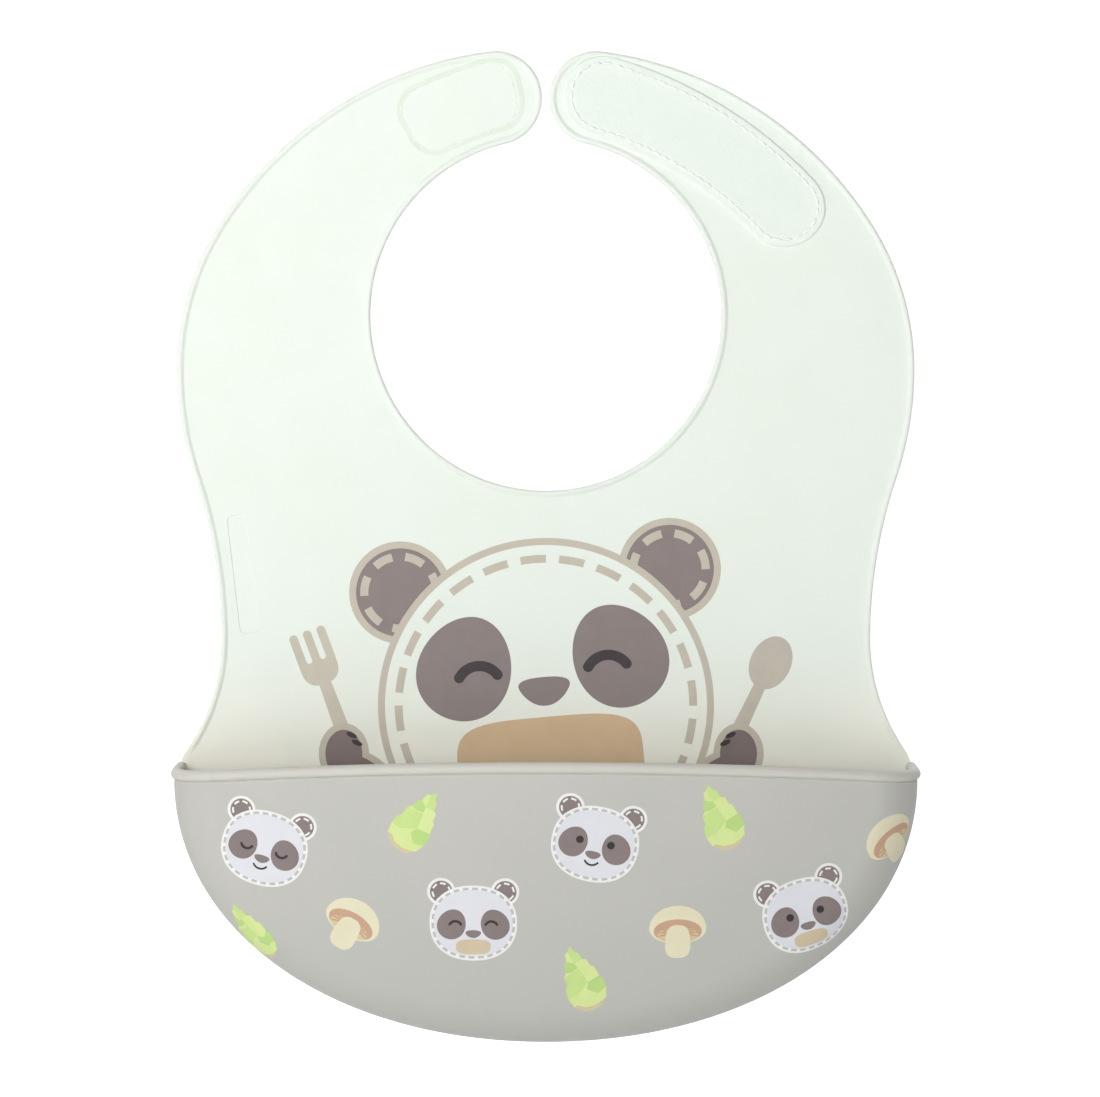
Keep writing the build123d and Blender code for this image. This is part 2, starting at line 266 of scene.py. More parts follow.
def nearest(points, path):
    """Distance from each point to an open path, and the nearest point on it."""
    start, run = path[:-1], np.diff(path, axis=0)
    run_squared = (run**2).sum(1)
    distances, feet = [], []
    for some in np.array_split(points, len(points) // 1000 + 1):
        share = np.clip(((some[:, None] - start) * run).sum(2) / run_squared, 0, 1)
        foot = start + share[..., None] * run
        distance = np.linalg.norm(some[:, None] - foot, axis=2)
        best = distance.argmin(1)
        rows = np.arange(len(some))
        distances.append(distance[rows, best])
        feet.append(foot[rows, best])
    return np.concatenate(distances), np.concatenate(feet)


def hex_grid(low, high, step):
    """Evenly spread points over a rectangle."""
    rows = np.arange(low[1], high[1], step * sqrt(3) / 2)
    found = []
    for i, z in enumerate(rows):
        xs = np.arange(low[0] + (i % 2) * step / 2, high[0], step)
        found.append(np.stack((xs, np.full(len(xs), z)), 1))
    return np.concatenate(found)


def fill(add, cut=(), within=(), step=None, keep_off=0.35):
    """Points and triangles that fill the loops in add, less those in cut, inside those in within."""
    loops = [*add, *cut, *within]
    points, edges = [], []
    for loop in loops:
        first = sum(len(p) for p in points)
        points.append(loop)
        edges += [(first + i, first + (i + 1) % len(loop)) for i in range(len(loop))]
    outline = np.concatenate(points)
    if step:
        grid = hex_grid(outline.min(0), outline.max(0), step)
        grid = grid[inside_any(grid, add)]
        for loop in loops:
            gap = nearest(grid, closed(loop))[0]
            grid = grid[gap > keep_off * step]
        points.append(grid)
    given = np.concatenate(points)
    made = delaunay_2d_cdt([Vector(p) for p in given], edges, [], 0, 1e-5)
    corners = np.array([given[same[0]] if same else tuple(v) for v, same in zip(made[0], made[3])])
    triangles = np.array([tuple(f) for f in made[2]])
    middles = corners[triangles].mean(1)
    kept = inside_any(middles, add)
    if cut:
        kept &= ~inside_any(middles, cut)
    if within:
        kept &= inside_any(middles, within)
    return corners, triangles[kept]


# -------- meshes
def in_scene(name, data):
    """A new object in the scene."""
    made = bpy.data.objects.new(name, data)
    bpy.context.scene.collection.objects.link(made)
    return made


class Skin:
    """Collects faces given by their corners in millimetres, and welds equal corners."""

    def __init__(self):
        self.places = {}
        self.points = []
        self.faces = []

    def index(self, point):
        key = (round(point[0], 4), round(point[1], 4), round(point[2], 4))
        if key not in self.places:
            self.places[key] = len(self.points)
            self.points.append(key)
        return self.places[key]

    def face(self, *corners):
        found = [self.index(c) for c in corners]
        distinct = [a for a, b in zip(found, found[1:] + found[:1]) if a != b]
        if len(set(distinct)) > 2:
            self.faces.append(distinct)

    def grid(self, rows, closed=False):
        """Four-sided faces between rows of points; closed joins the ends of each row."""
        rows = np.asarray(rows)
        count = rows.shape[1]
        for here, there in zip(rows[:-1], rows[1:]):
            for i in range(count if closed else count - 1):
                j = (i + 1) % count
                self.face(here[i], here[j], there[j], there[i])

    def triangles(self, points, corners):
        for triangle in corners:
            self.face(*points[triangle])

    def tube(self, path, radii, sides=8, twist=0.0, ridge=0.0, up=(0.0, -1.0, 0.0)):
        """Round thread along a path with pointed ends; ridge and twist give it the ply's shape."""
        path = np.asarray(path, float)
        along = headings(path)
        side = np.cross(along, up)
        side /= np.linalg.norm(side, axis=1)[:, None]
        over = np.cross(side, along)
        angles = np.linspace(0, 2 * pi, sides, endpoint=False)
        rings = []
        for i, (centre, radius) in enumerate(zip(path, radii)):
            reach = radius * (1 + ridge * np.cos(2 * (angles - twist * i)))
            rings.append(
                centre
                + (reach * np.cos(angles))[:, None] * side[i]
                + (reach * np.sin(angles))[:, None] * over[i]
            )
        self.grid(rings, closed=True)
        for ring, end in ((rings[0], path[0]), (rings[-1], path[-1])):
            for i in range(sides):
                self.face(ring[i], ring[(i + 1) % sides], end)

    def piece(self, name, material, slot, nodes=(), body=None):
        """Makes the Blender object, with its corners' places at rest kept for the materials."""
        mesh = bpy.data.meshes.new(name)
        mesh.from_pydata([tuple(c * MM for c in p) for p in self.points], [], self.faces)
        solid = bmesh.new()
        solid.from_mesh(mesh)
        bmesh.ops.recalc_face_normals(solid, faces=solid.faces)
        solid.to_mesh(mesh)
        solid.free()
        mesh.shade_smooth()
        mesh.set_sharp_from_angle(angle=sharp_angle)
        kept = mesh.attributes.new("rest_place", "FLOAT_VECTOR", "POINT")
        places = np.zeros(len(mesh.vertices) * 3, np.float32)
        mesh.vertices.foreach_get("co", places)
        kept.data.foreach_set("vector", places)
        mesh.materials.append(material)
        made = in_scene(name, mesh)
        if nodes:
            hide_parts(*nodes)
        if body:
            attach(made, body)
        return made


# -------- materials
map_range_sockets = ("From Min", "From Max", "To Min", "To Max")


def paint(red, green, blue, share=1.0):
    """Linear colour from 0-255 display values."""
    values = [v / 255 for v in (red, green, blue)]
    linear = [v / 12.92 if v <= 0.04045 else ((v + 0.055) / 1.055) ** 2.4 for v in values]
    return tuple(v * share for v in linear) + (1.0,)


class Finish:
    """A material and short ways of adding the nodes it needs."""

    def __init__(self, name, roughness, **fixed):
        self.material = bpy.data.materials.new(name)
        self.material.use_nodes = True
        self.tree = self.material.node_tree
        self.shader = self.tree.nodes["Principled BSDF"]
        self.shader.inputs["Roughness"].default_value = roughness
        for socket, value in fixed.items():
            self.shader.inputs[socket.replace("_", " ")].default_value = value
        self.place = self.node("ShaderNodeAttribute", attribute_name="rest_place").outputs["Vector"]
        self.relief = None

    def node(self, kind, **settings):
        made = self.tree.nodes.new(kind)
        for name, value in settings.items():
            setattr(made, name, value)
        return made

    def link(self, output, target):
        self.tree.links.new(output, target)

    def feed(self, value, socket):
        """Sets a socket to a number or a colour, or links an output to it."""
        if isinstance(value, bpy.types.NodeSocket):
            self.link(value, socket)
        else:
            socket.default_value = value

    def noise(self, size_mm, detail=2.0, stretch=None):
        """Cloudy pattern with features of about this size."""
        made = self.node("ShaderNodeTexNoise")
        made.inputs["Scale"].default_value = 1 / (size_mm * MM)
        made.inputs["Detail"].default_value = detail
        place = self.place
        if stretch:
            mapping = self.node("ShaderNodeMapping")
            mapping.inputs["Scale"].default_value = stretch
            self.link(self.place, mapping.inputs["Vector"])
            place = mapping.outputs["Vector"]
        self.link(place, made.inputs["Vector"])
        return made.outputs["Fac"]

    def cells(self, size_mm, feature="F1"):
        """Pattern of small cells; the value grows away from each cell's middle."""
        made = self.node("ShaderNodeTexVoronoi", feature=feature)
        made.inputs["Scale"].default_value = 1 / (size_mm * MM)
        self.link(self.place, made.inputs["Vector"])
        return made.outputs["Distance"]

    def ranged(self, value, low, high, to_low=0.0, to_high=1.0):
        """A value mapped from one range to another, and held at its ends."""
        made = self.node("ShaderNodeMapRange", interpolation_type="SMOOTHSTEP")
        for name, number in zip(map_range_sockets, (low, high, to_low, to_high)):
            made.inputs[name].default_value = number
        self.link(value, made.inputs["Value"])
        return made.outputs["Result"]

    def axis(self, name):
        """One coordinate of the place, in metres."""
        made = self.node("ShaderNodeSeparateXYZ")
        self.link(self.place, made.inputs["Vector"])
        return made.outputs[name]

    def math(self, operation, *values):
        """Arithmetic on numbers and outputs."""
        made = self.node("ShaderNodeMath", operation=operation)
        for value, socket in zip(values, made.inputs):
            self.feed(value, socket)
        return made.outputs["Value"]

    def above_rim(self):
        """Height above the pocket rim's top line, in metres."""
        sag = (rim_mid - rim_side) / (corner[0] ** 2 * MM)
        square = self.math("MULTIPLY", self.axis("X"), self.axis("X"))
        line = self.math("MULTIPLY_ADD", square, sag, -rim_mid * MM)
        return self.math("ADD", self.axis("Z"), line)

    def mixed(self, share, first, second):
        """Colour between two colours or colour outputs."""
        made = self.node("ShaderNodeMix", data_type="RGBA")
        self.link(share, made.inputs["Factor"])
        self.feed(first, made.inputs[6])
        self.feed(second, made.inputs[7])
        return made.outputs[2]

    def coloured(self, colour):
        self.link(colour, self.shader.inputs["Base Color"])

    def rough(self, size_mm, detail, low, high):
        """Roughness that drifts between two values."""
        drift = self.ranged(self.noise(size_mm, detail), 0.3, 0.7, low, high)
        self.link(drift, self.shader.inputs["Roughness"])

    def bumped(self, height, depth_mm, strength=1.0):
        """Adds relief of this depth on top of what is there."""
        made = self.node("ShaderNodeBump")
        made.inputs["Distance"].default_value = depth_mm * MM
        made.inputs["Strength"].default_value = strength
        self.link(height, made.inputs["Height"])
        if self.relief:
            self.link(self.relief, made.inputs["Normal"])
        self.relief = made.outputs["Normal"]
        self.link(self.relief, self.shader.inputs["Normal"])


def silicone(name, upper, lower_painted_light, painted_light_fade, cloud, rim=None):
    """Matte moulded silicone: a fine etched grain, faint flow marks and clinging dust, with light painted
    in: a lower colour towards the bottom of the front, and a painted highlight on the rim.
    """
    made = Finish(name, 0.5, IOR=1.41, Sheen_Weight=0.12, Sheen_Roughness=0.45)
    # Painted light: towards the bottom, the front takes the lower colour. It stands in for light and
    # shade near the pocket, not for the silicone's own colour.
    tone_with_painted_light = made.mixed(made.ranged(made.axis("Z"), *painted_light_fade), lower_painted_light, upper)
    # The back keeps the upper colour, so the painted light stays on the front.
    behind = made.ranged(made.axis("Y"), -half_sheet * MM / 2, half_sheet * MM / 2)
    tone_with_painted_light = made.mixed(behind, tone_with_painted_light, upper)
    clouded = made.mixed(made.ranged(made.noise(38, 3), 0.35, 0.7, 0.0, 0.5), tone_with_painted_light, cloud)
    # Painted highlight: the rolled rim's bead takes the lighter rim colour, where the bead catches the
    # light.
    if rim:
        clouded = made.mixed(made.ranged(made.above_rim(), -4.6 * MM, -2.6 * MM), clouded, rim)
    specks = made.ranged(made.noise(0.55, 1), 0.76, 0.8, 0.0, 0.35)
    made.coloured(made.mixed(specks, clouded, paint(226, 222, 214)))
    made.rough(9, 4, 0.44, 0.56)
    made.bumped(made.noise(22, 2, (1, 1, 0.45)), 0.10)
    made.bumped(made.noise(0.35, 2), 0.012)
    return made.material


def ink(name, colour, second=None):
    """Screen-printed ink: nearly even, with slight mottling and a faint tooth."""
    made = Finish(name, 0.46, IOR=1.45, Sheen_Weight=0.05)
    second = second or tuple(0.93 * c for c in colour[:3]) + (1.0,)
    mottled = made.mixed(made.ranged(made.noise(6, 4), 0.35, 0.7, 0.0, 0.6), colour, second)
    darker = tuple(0.88 * c for c in colour[:3]) + (1.0,)
    pinholes = made.ranged(made.noise(0.3, 1), 0.68, 0.76, 0.0, 0.5)
    made.coloured(made.mixed(pinholes, mottled, darker))
    made.rough(2.5, 3, 0.42, 0.52)
    made.bumped(made.noise(0.3, 2), 0.006)
    return made.material


def fabric(name, base, shade, size, pile):
    """Brushed or knitted tape: small tufts over a woven ground; pile is how far they stand."""
    made = Finish(name, 0.85, Sheen_Weight=0.5, Sheen_Roughness=0.6, Specular_IOR_Level=0.25)
    tufts = made.cells(size)
    soft = made.ranged(tufts, 0.15, 0.75)
    drift = made.ranged(made.noise(7, 3), 0.3, 0.7, 0.0, 0.2)
    ground = made.mixed(drift, base, shade)
    made.coloured(made.mixed(made.ranged(tufts, 0.4, 0.9, 0.0, 0.6 * pile), ground, shade))
    made.rough(1.2, 3, 0.78, 0.95)
    made.bumped(made.noise(0.25, 3, (1, 1, 2.5)), 0.06 * pile)
    made.bumped(soft, 0.09 * pile, 0.8)
    return made.material


def thread(name, colour, shade):
    """Spun polyester thread."""
    made = Finish(name, 0.5, Sheen_Weight=0.3, Sheen_Roughness=0.4)
    made.coloured(made.mixed(made.ranged(made.noise(0.5, 2), 0.3, 0.7), colour, shade))
    made.rough(1.0, 2, 0.42, 0.6)
    made.bumped(made.noise(0.12, 2, (1, 1, 4)), 0.02)
    return made.material


# Cream sheet: its lower colour is painted light. It makes the front lighter and warmer just above the
# pocket, standing in for light through the translucent silicone.
cream_silicone = silicone(
    "cream_silicone",
    paint(238, 246, 237, 0.97), paint(248, 245, 231), (-0.152, -0.1), paint(238, 244, 232, 0.96),
)
# Grey pocket: its lower colour is painted shade, darker where the bowl curves under at the bottom. The
# rim colour is a painted highlight on the rolled rim.
grey_silicone = silicone(
    "grey_silicone",
    paint(195, 194, 188), paint(191, 191, 185), (-0.22, -0.15), paint(190, 190, 185),
    rim=paint(207, 205, 196),
)
hook_fabric = fabric("hook_tape", paint(236, 242, 232), paint(220, 228, 216), 0.8, 1.0)
loop_fabric = fabric("loop_tape", paint(237, 246, 237), paint(229, 239, 228), 0.55, 0.25)
hook_plastic = thread("hook_stems", paint(240, 243, 236), paint(228, 232, 224))
white_thread = thread("white_thread", paint(254, 255, 254), paint(245, 248, 245))
sunk_thread = thread("sunk_thread", paint(238, 246, 235), paint(236, 244, 231))
seam_tint = ink("seam_tint", paint(225, 236, 222))

# Each ink's slot, its colour, and the colour of its mottling where that isn't just darker.
ink_colours = {
    "beige": ("beige_ink", (198, 191, 175), (192, 184, 168)),
    "fork": ("beige_ink", (202, 195, 178), (195, 187, 170)),
    "spoon": ("beige_ink", (196, 188, 174), (186, 178, 166)),
    "taupe": ("taupe_ink", (136, 124, 122), (132, 119, 117)),
    "paw": ("taupe_ink", (126, 111, 109), (120, 104, 103)),
    "tan": ("tan_ink", (213, 184, 147), (208, 178, 140)),
    "mouth": ("tan_ink", (212, 196, 166)),
    "root": ("tan_ink", (216, 200, 164)),
    "dark": ("dark_ink", (48, 40, 44)),
    "white": ("white_ink", (240, 240, 238), (235, 235, 233)),
    "face": ("white_ink", (226, 227, 232), (222, 223, 229)),
    "dash": ("white_ink", (192, 192, 190)),
    "leaf": ("green_ink", (214, 231, 152), (220, 236, 164)),
    "leaf_mid": ("green_ink", (202, 228, 142)),
    "leaf_deep": ("green_ink", (188, 221, 133)),
    "cream": ("cream_ink", (232, 226, 196), (227, 220, 188)),
    "gill": ("cream_ink", (216, 200, 158), (209, 190, 150)),
    "brown": ("brown_ink", (204, 165, 138)),
}
inks = {
    name: (ink(name + "_ink", *[paint(*colour) for colour in colours]), slot)
    for name, (slot, *colours) in ink_colours.items()
}


# -------- outline of the sheet
def between(start, end, share):
    """Point that lies `share` of the way from start to end."""
    return start + (end - start) * share


def outer_side(grow=0.0, step=1.0):
    """Right-hand edge from the shoulder down to the bottom, `grow` outside the sheet."""
    widest, top, low = shoulder + (grow, 0), waist + (grow, 0), corner + (grow, 0)
    bend = between(widest, top, shoulder_bend_share)
    flare = between(top, low, flare_bend_share)
    lowest = np.array((0, bottom - grow))
    bowl = curve(
        low, (low[0], between(low, lowest, bottom_fullness)[1]), (bottom_fullness * low[0], lowest[1]),
        lowest, round(160 / step),
    )
    return chain(
        side_arc(widest, bend, step),
        side_arc(top, bend, step)[::-1],
        side_arc(top, flare, step),
        side_arc(low, flare, step)[::-1],
        bowl,
    )


tip_x = tip_gap / 2 + tip_radius
tip_z = sqrt((neck_radius + tip_radius) ** 2 - tip_x**2)
tip_angle = degrees(atan2(tip_z, tip_x))
shoulder_centre = shoulder - (shoulder_radius, 0)

# The strap's top is a flatter arc, tangent to the shoulder's arc and to the tip's round end.
turned = np.array((cos(radians(shoulder_turn)), sin(radians(shoulder_turn))))
apart = shoulder_centre - (tip_x, tip_z)
radius_left = shoulder_radius - tip_radius
extra_radius = (apart @ apart - radius_left**2) / (2 * (apart @ turned + radius_left))
strap_top_centre = shoulder_centre - extra_radius * turned
strap_top_end = degrees(atan2(tip_z - strap_top_centre[1], tip_x - strap_top_centre[0]))

half_outline = chain(
    arc((0, 0), neck_radius, -90, tip_angle),
    arc((tip_x, tip_z), tip_radius, tip_angle + 180, strap_top_end),
    arc(strap_top_centre, shoulder_radius + extra_radius, strap_top_end, shoulder_turn),
    arc(shoulder_centre, shoulder_radius, shoulder_turn, 0),
    outer_side(),
)
outer_start = len(half_outline) - len(outer_side())


# -------- sheet, in two halves
# Distance inside the edge, and in front of the sheet's middle, from the back round to the front.
edge_profile = (
    (0.9, -0.9), (0.25, -0.82), (0.06, -0.55), (0.0, -0.2), (0.0, 0.6), (0.08, 1.05),
    (0.35, 1.32), (0.8, 1.43), (1.3, 1.34), (1.7, 1.12), (1.95, 0.94), (2.3, 0.9),
)
bead_ends = (-134.0, -140.0)
label_place = (-96.2, -82.0, 96.3)
label_size = (38.0, 6.2)
label_corner = 2.0
label_depth = 0.2


def smooth(share):
    """Eases from 0 to 1."""
    share = np.clip(share, 0, 1)
    return share * share * (3 - 2 * share)


def standing(points, depth):
    """Flat points stood up `depth` in front of the sheet's middle."""
    points = np.asarray(points)
    return np.stack((points[:, 0], -np.broadcast_to(depth, len(points)), points[:, 1]), 1)


def make_sheet(side, name, nodes):
    """Half of the silicone sheet, with its raised edge bead; the halves meet on the middle line."""
    normals = inward(half_outline)
    normals[0], normals[-1] = (0, -1), (0, 1)
    bead = np.ones(len(half_outline))
    bead[outer_start:] = smooth(
        (half_outline[outer_start:, 1] - bead_ends[1]) / (bead_ends[0] - bead_ends[1])
    )
    skin = Skin()
    rings, rows = [], []
    for inset, depth in edge_profile:
        ring = (half_outline + normals * inset) * (side, 1)
        depths = half_sheet + (depth - half_sheet) * bead if depth > half_sheet else depth
        rings.append(ring)
        rows.append(standing(ring, depths))
    skin.grid(rows)

    label_edge, recess, label_floor = [
        moved(rounded_rectangle(*label_size, label_corner, inset), label_place)
        for inset in (0, 0.1, 0.15)
    ]
    seams = []
    for ring, depth in ((rings[-1], half_sheet), (rings[0], -half_sheet)):
        heights = np.arange(bottom + 4, -neck_radius - 3, 2.0)
        seam = np.stack((np.zeros(len(heights)), heights), 1)
        seams.append(seam)
        marks = [label_edge, label_floor] if side < 0 and depth > 0 else []
        points, triangles = fill([np.concatenate((ring, seam)), *marks], step=2.4)
        depths = np.full(len(points), depth)
        if marks:
            depths[is_inside(points, recess)] -= label_depth
        skin.triangles(standing(points, depths), triangles)
    skin.face(
        *standing(seams[0], half_sheet),
        *[row[0] for row in rows[::-1]],
        *standing(seams[1][::-1], -half_sheet),
        *[row[-1] for row in rows],
    )
    return skin.piece(name, cream_silicone, "cream_silicone", nodes)


sheet_left = make_sheet(-1, "sheet_left_half", ("bib_panel", "left_strap"))
sheet_right = make_sheet(1, "sheet_right_half", ("bib_panel", "right_strap"))


# -------- catch pocket
rim_drop = 3.9
inner_rim_drop = 3.5
sunk = 0.2
pocket_columns = 261
levelling_step = 1.2
levelled_stretch = 24
wall_rows, bend_rows, front_rows = 6, 13, 35
# Outwards from the pocket's outer face, and up from the rim's top line.
rim_profile = (
    (-0.28, -3.62), (-0.02, -3.4), (0.5, -3.2), (0.85, -2.7), (1.0, -2.0), (0.9, -1.2),
    (0.5, -0.5), (-0.1, -0.08), (-0.85, 0.0), (-1.6, -0.08), (-2.2, -0.5), (-2.5, -1.2),
    (-2.55, -1.9), (-2.3, -2.7), (-1.95, -3.2),
)


def rim_line(x):
    """Height of the rim's top, which bows up in the middle."""
    return rim_mid + (rim_side - rim_mid) * (x / corner[0]) ** 2


def bowl_edge(top, grow=0.0, step=1.2):
    """Outline of the pocket from its right top, round the bottom, to its left top."""
    right = outer_side(grow, 0.5)
    first = np.argmax(right[:, 1] < top)
    share = (top - right[first - 1, 1]) / (right[first, 1] - right[first - 1, 1])
    start = between(right[first - 1], right[first], share)
    right = np.concatenate((start[None], right[first:]))
    whole = np.concatenate((right, mirrored(right[-2::-1])))
    length = lengths_along(whole)[-1]
    return at_distance(whole, np.linspace(0, length, 2 * round(length / step / 2) + 1))


def front_depth(points):
    """How far the pocket's front stands from the sheet's middle: a leaning barrel shape."""
    across, up = points[..., 0], points[..., 1]
    barrel = np.sqrt(pocket_bulge_radius**2 - across**2) - pocket_bulge_radius + pocket_mid_depth
    return (barrel + (up - rim_side) * sin(pocket_lean)) / cos(pocket_lean)


def bowl_rows(grow, drop, depth_lost):
    """One face of the pocket as rows of points, from the panel to under the rim."""
    count = pocket_columns
    radius = pocket_corner + grow
    edge = bowl_edge(rim_line(corner[0]) - drop, grow)
    edge = edge[np.linspace(0, len(edge) - 1, count).round().astype(int)]
    normals = inward(edge)
    from_top = np.minimum(np.arange(count), np.arange(count)[::-1]) * levelling_step

    def levelled(flat):
        lift = rim_line(flat[[0, -1], 0]) - drop - flat[[0, -1], 1]
        ends = np.where(np.arange(count) < count / 2, lift[0], lift[1])
        return flat + np.stack((np.zeros(count), ends * smooth(1 - from_top / levelled_stretch)), 1)

    rows = []
    base = levelled(edge)
    wall_top = front_depth(base) - depth_lost - radius
    for share in np.linspace(0, 1, wall_rows)[:-1]:
        rows.append(standing(base, between(half_sheet - sunk, wall_top, share)))
    for turn in np.linspace(0, pi / 2, bend_rows):
        flat = levelled(edge + normals * radius * (1 - cos(turn)))
        rows.append(standing(flat, front_depth(flat) - depth_lost - radius * (1 - sin(turn))))
    outer = flat
    goal_x = outer[0, 0] * np.cos(np.linspace(0, pi, count))
    goal = np.stack((goal_x, rim_line(goal_x) - drop), 1)
    for share in np.linspace(0, 1, front_rows)[1:]:
        flat = between(outer, goal, share)
        rows.append(standing(flat, front_depth(flat) - depth_lost))
    return np.array(rows)


def top_border(rows):
    """The points where a face of the pocket meets the rim, from the right end to the left."""
    return np.concatenate((rows[:-1, 0], rows[-1], rows[-2::-1, -1]))


def make_pocket():
    """The pocket's wall, outside and inside, with the rolled rim that joins the two."""
    outside = bowl_rows(0.0, rim_drop, 0.0)
    inside = bowl_rows(-pocket_wall, inner_rim_drop, 1.02 * pocket_wall)
    skin = Skin()
    skin.grid(outside)
    skin.grid(inside)
    skin.grid((outside[0], inside[0]))
    border, inner_border = top_border(outside), top_border(inside)
    outward = -inward(border[:, :2])
    outward[0], outward[-1] = (1, 0), (-1, 0)
    rows = [border]
    for out, up in rim_profile:
        row = border.copy()
        row[:, :2] += outward * out
        row[:, 2] += rim_drop + up
        rows.append(row)
    rows.append(inner_border)
    skin.grid(rows)
    for end in (0, -1):
        skin.face(*[row[end] for row in rows])
    skin.piece("pocket_bowl", grey_silicone, "grey_silicone", ("catch_pocket",), "bib_body")


make_pocket()


# -------- hook and loop tape
# Distances inside a tape's edge, closest where its edge rounds over and beside its seam.
tape_insets = (
    0, 0.12, 0.25, 0.35, 0.5, 0.7, 0.9, 1.3, 1.7, 2.1, 2.4, 2.6, 2.8, 3.1, 3.5, 3.9, 4.4,
)
ground_thickness = 0.75
hook_pitch = 1.45
hook_rim = 4.2
hook_sunk = 0.15
thread_proud = 0.3
under_thread_proud = 0.12
thread_sunk = 0.14


def strap_band(side, angles):
    """Length of a tape and a function that bends flat (along, across) points round its strap."""
    middle = radians(sum(angles) / 2)
    length = radians(angles[1] - angles[0]) * band_radius

    def bent(points):
        turn = middle + points[:, 0] / band_radius
        reach = band_radius + points[:, 1]
        across = band_centre[0] + reach * np.cos(turn)
        return np.stack((side * across, band_centre[1] + reach * np.sin(turn)), 1)

    return length, bent


def pile_height(inset, thickness):
    """Height of a tape: eased down at the edge, and pulled down along the seam."""
    valley = np.exp(-(((inset - stitch_inset) / valley_width) ** 2))
    return thickness * smooth(inset / tape_edge) - seam_valley * valley


def make_tape(kind, material, band, corner_radius, thickness, face, body):
    """Tape with a rounded edge and a valley along its seam; face is 1 in front and -1 behind."""
    length, bent = band
    rng = np.random.default_rng(7)
    skin = Skin()
    rows = []
    for inset in tape_insets:
        loop = rounded_rectangle(length, tape_width, corner_radius, inset)
        height = pile_height(inset, thickness)
        rows.append(standing(bent(loop), face * (half_sheet - tape_sunk + height)))
    skin.grid(rows, closed=True)
    points, triangles = fill([loop], step=1.1)
    heights = np.full(len(points), height)
    heights[len(loop):] += rng.normal(0, pile_unevenness, len(points) - len(loop))
    skin.triangles(standing(bent(points), face * (half_sheet - tape_sunk + heights)), triangles)
    points, triangles = fill([rounded_rectangle(length, tape_width, corner_radius)])
    skin.triangles(standing(bent(points), face * (half_sheet - tape_sunk)), triangles)
    return skin.piece(kind + "_tape", material, kind + "_tape", (kind + "_patch",), body)


def seam_stitches(band, corner_radius, base, face, proud):
    """A row of lockstitches, each a twisted thread that dives into the tape at both ends."""
    length, bent = band
    skin = Skin()
    loop = closed(rounded_rectangle(length, tape_width, corner_radius, stitch_inset, 0.4))
    total = lengths_along(loop)[-1]
    count = round(total / stitch_pitch)
    share = np.linspace(0, 1, 13)
    arch = 1 - np.abs(2 * share - 1) ** 4
    for i in range(count):
        start = total * i / count
        flat = bent(at_distance(loop, start + share * stitch_length))
        depth = face * (half_sheet + base + proud * arch - thread_sunk)
        radii = thread_radius * (0.55 + 0.45 * arch)
        skin.tube(standing(flat, depth), radii, sides=10, twist=0.5, ridge=0.16)
    return skin


def make_seam(kind, under_material, band, corner_radius, thickness, face, body):
    """Needle-side stitches on the tape, and bobbin-side stitches on the strap's other face."""
    name = kind + "_tape_thread"
    top = seam_stitches(band, corner_radius, thickness - seam_valley, face, thread_proud)
    top.piece(name, white_thread, "sewing_thread", (kind + "_patch_stitching",), body)
    under = seam_stitches(band, corner_radius, -thread_sunk, -face, under_thread_proud)
    under.piece(name + "_underside", under_material, "sewing_thread", (), body)


def make_hooks():
    """Rows of small moulded hooks on the hook tape, every second row turned the other way."""
    length, bent = hook_band
    skin = Skin()
    rim = rounded_rectangle(length, tape_width, hook_tape_corner, hook_rim)
    spots = hex_grid(rim.min(0), rim.max(0), hook_pitch)
    spots = spots[is_inside(spots, rim)]
    shape = ((0, 0), (0, 0.3), (0.04, 0.55), (0.18, 0.75), (0.4, 0.74), (0.5, 0.56))
    for spot in spots:
        way = 1 if round(spot[1] / (hook_pitch * sqrt(3) / 2)) % 2 else -1
        flat = bent(np.array([(spot[0] + way * a, spot[1]) for a, _ in shape]))
        rise = np.array([half_sheet + ground_thickness - hook_sunk + h for _, h in shape])
        radii = (0.14, 0.12, 0.11, 0.1, 0.09, 0.07)
        skin.tube(standing(flat, -rise), radii, sides=6, up=(0, 0, 1))
    skin.piece("hook_stems", hook_plastic, "hook_tape", (), "left_strap_body")


hook_band = strap_band(-1, hook_tape_angles)
loop_band = strap_band(1, loop_tape_angles)
hook_form = (hook_band, hook_tape_corner, ground_thickness, -1, "left_strap_body")
loop_form = (loop_band, loop_tape_corner, pressed_thickness, 1, "right_strap_body")
loop_tape = make_tape("loop", loop_fabric, *loop_form)
hook_tape = make_tape("hook", hook_fabric, *hook_form)
make_hooks()
make_seam("loop", white_thread, *loop_form)
make_seam("hook", sunk_thread, *hook_form)


# -------- printed films
film_sunk = 0.06
rolled_edge = bowl_edge(-115.0)


def on_panel(points, lift):
    """Points on the front of the sheet, lifted by the ink's thickness."""
    return standing(points, half_sheet + lift)


def on_pocket(points, lift):
    """Points wrapped over the pocket's front and round its rolled edge."""
    inside = is_inside(points, rolled_edge)
    gap, foot = nearest(points, rolled_edge)
    gap = np.where(inside, gap, -gap)
    outward = (foot - points) / np.maximum(np.abs(gap), 1e-6)[:, None]
    outward[~inside] *= -1
    beyond = np.maximum(pocket_corner - gap, 0)
    turn = np.minimum(beyond / pocket_corner, pi / 2)
    shifted = points + outward * ((pocket_corner + lift) * np.sin(turn) - beyond)[:, None]
    down_wall = np.maximum(beyond - pocket_corner * pi / 2, 0)
    fall = pocket_corner - (pocket_corner + lift) * np.cos(turn) + down_wall
    return standing(shifted, front_depth(shifted) - fall)


def unfolded(place):
    """Moves a picture outwards so that it shows at its place once it is wrapped."""
    x, z, tilt = place
    here = np.array(((x, z),))
    gap, foot = nearest(here, rolled_edge)
    near = min(gap[0], pocket_corner)
    turn = np.arcsin((pocket_corner - near) / pocket_corner)
    push = pocket_corner * turn - (pocket_corner - near)
    x, z = here[0] + (foot[0] - here[0]) / gap[0] * push
    return x, z, tilt


